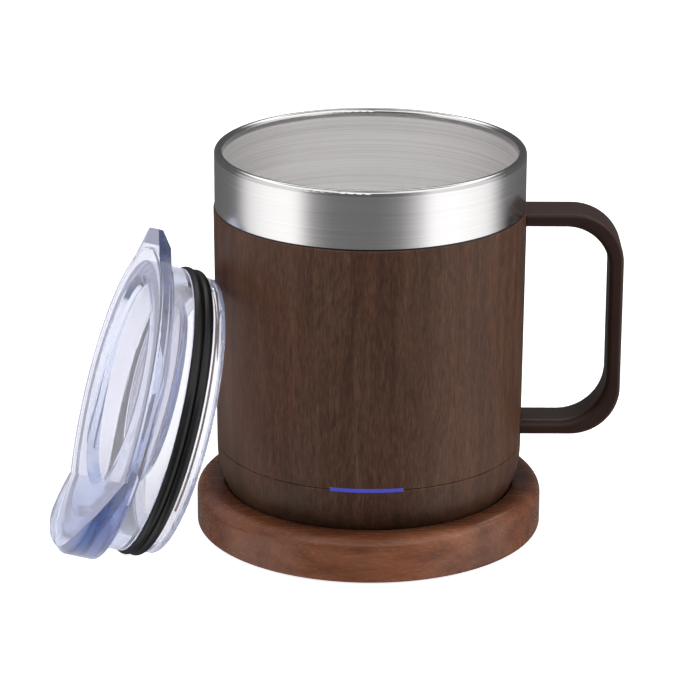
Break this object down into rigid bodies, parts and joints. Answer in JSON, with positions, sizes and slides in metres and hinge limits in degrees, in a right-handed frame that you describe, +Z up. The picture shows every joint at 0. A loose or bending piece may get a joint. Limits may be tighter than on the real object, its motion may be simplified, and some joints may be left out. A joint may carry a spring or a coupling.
{
  "type": "self-heating mug",
  "caption": "Straight-sided heated mug with a steel rim, wood-look sleeve and strap handle, on a round charging coaster, with a clear tabbed lid leaning against it.",
  "frame": {"origin": "middle of the face the coaster stands on, on the mug's axis", "axes": "+Z up along the mug's axis, +X towards the handle, -Y towards the front with the light bar"},
  "size_m": [0.1624, 0.1146, 0.1115],
  "materials": {
    "coaster_wood": "satin lacquered reddish brown wood",
    "shell_wood": "satin dark walnut grain print on plastic",
    "handle_brown": "satin dark brown moulded plastic",
    "cup_steel": "brushed stainless steel",
    "silicone_black": "matt black silicone",
    "plastic_black": "fine textured black plastic",
    "lid_clear": "clear moulded plastic with a faint blue tint",
    "light_blue": "translucent window lit blue",
    "contact_gold": "gold plated contact",
    "screw_steel": "zinc plated steel",
    "socket_steel": "drawn steel sleeve",
    "board_green": "solder mask green",
    "chip_black": "moulded chip package",
    "led_white": "white chip",
    "cell_wrap": "shrink wrapped cell",
    "tray_white": "plain moulded plastic",
    "foil_wrap": "foil faced wrap",
    "film_amber": "amber film",
    "felt_grey": "grey felt",
    "lead_red": "insulated lead"
  },
  "bodies": {
    "coaster": {"coaster_top": "coaster_wood", "coaster_pad": "silicone_black", "coaster_cover": "plastic_black", "coaster_screws": "screw_steel", "coaster_board": "board_green", "usb_inlet": "socket_steel", "charging_puck": "plastic_black", "pin_barrels": "contact_gold", "pin_spring_inner": "screw_steel", "pin_spring_outer": "screw_steel"},
    "mug": {"inner_cup": "cup_steel", "steel_band": "cup_steel", "seam_gasket": "silicone_black", "outer_shell": "shell_wood", "base_cap": "shell_wood", "handle": "handle_brown", "handle_screws": "screw_steel", "light_bar": "light_blue", "led_board": "board_green", "led_chips": "led_white", "insulation_sleeve": "foil_wrap", "heater_film": "film_amber", "heater_insulation": "felt_grey", "temperature_sensor": "chip_black", "heater_leads": "lead_red", "clamp_plate": "tray_white", "clamp_screws": "screw_steel", "battery_cells": "cell_wrap", "battery_tray": "tray_white", "control_board": "board_green", "board_components": "chip_black", "base_plate": "plastic_black", "base_seal": "silicone_black", "base_screws": "screw_steel", "contact_ring_inner": "contact_gold", "contact_ring_outer": "contact_gold", "foot_ring": "silicone_black", "button_dome": "silicone_black"},
    "lid": {"lid_cover": "lid_clear", "lid_seal": "silicone_black", "lid_retainer": "lid_clear"},
    "power_button": {"power_button": "plastic_black"},
    "pin_inner": {"charging_pin_inner": "contact_gold"},
    "pin_outer": {"charging_pin_outer": "contact_gold"}
  },
  "joints": [
    {"name": "mug_lift", "type": "slide", "parent": "coaster", "child": "mug", "axis": [0, 0, 1], "range_m": [0, 0.12]},
    {"name": "lid_lift", "type": "slide", "parent": "coaster", "child": "lid", "axis": [0, 0, 1], "range_m": [0, 0.12]},
    {"name": "power_button_press", "type": "slide", "parent": "mug", "child": "power_button", "axis": [0, 0, 1], "range_m": [0, 0.0008], "stiffness_N_per_m": 800, "springref_m": -0.001, "deforming": ["button_dome"]},
    {"name": "inner_pin_press", "type": "slide", "parent": "coaster", "child": "pin_inner", "axis": [0, 0, -1], "range_m": [0, 0.0008], "stiffness_N_per_m": 600, "springref_m": -0.001, "deforming": ["pin_spring_inner"]},
    {"name": "outer_pin_press", "type": "slide", "parent": "coaster", "child": "pin_outer", "axis": [0, 0, -1], "range_m": [0, 0.0008], "stiffness_N_per_m": 600, "springref_m": -0.001, "deforming": ["pin_spring_outer"]}
  ]
}
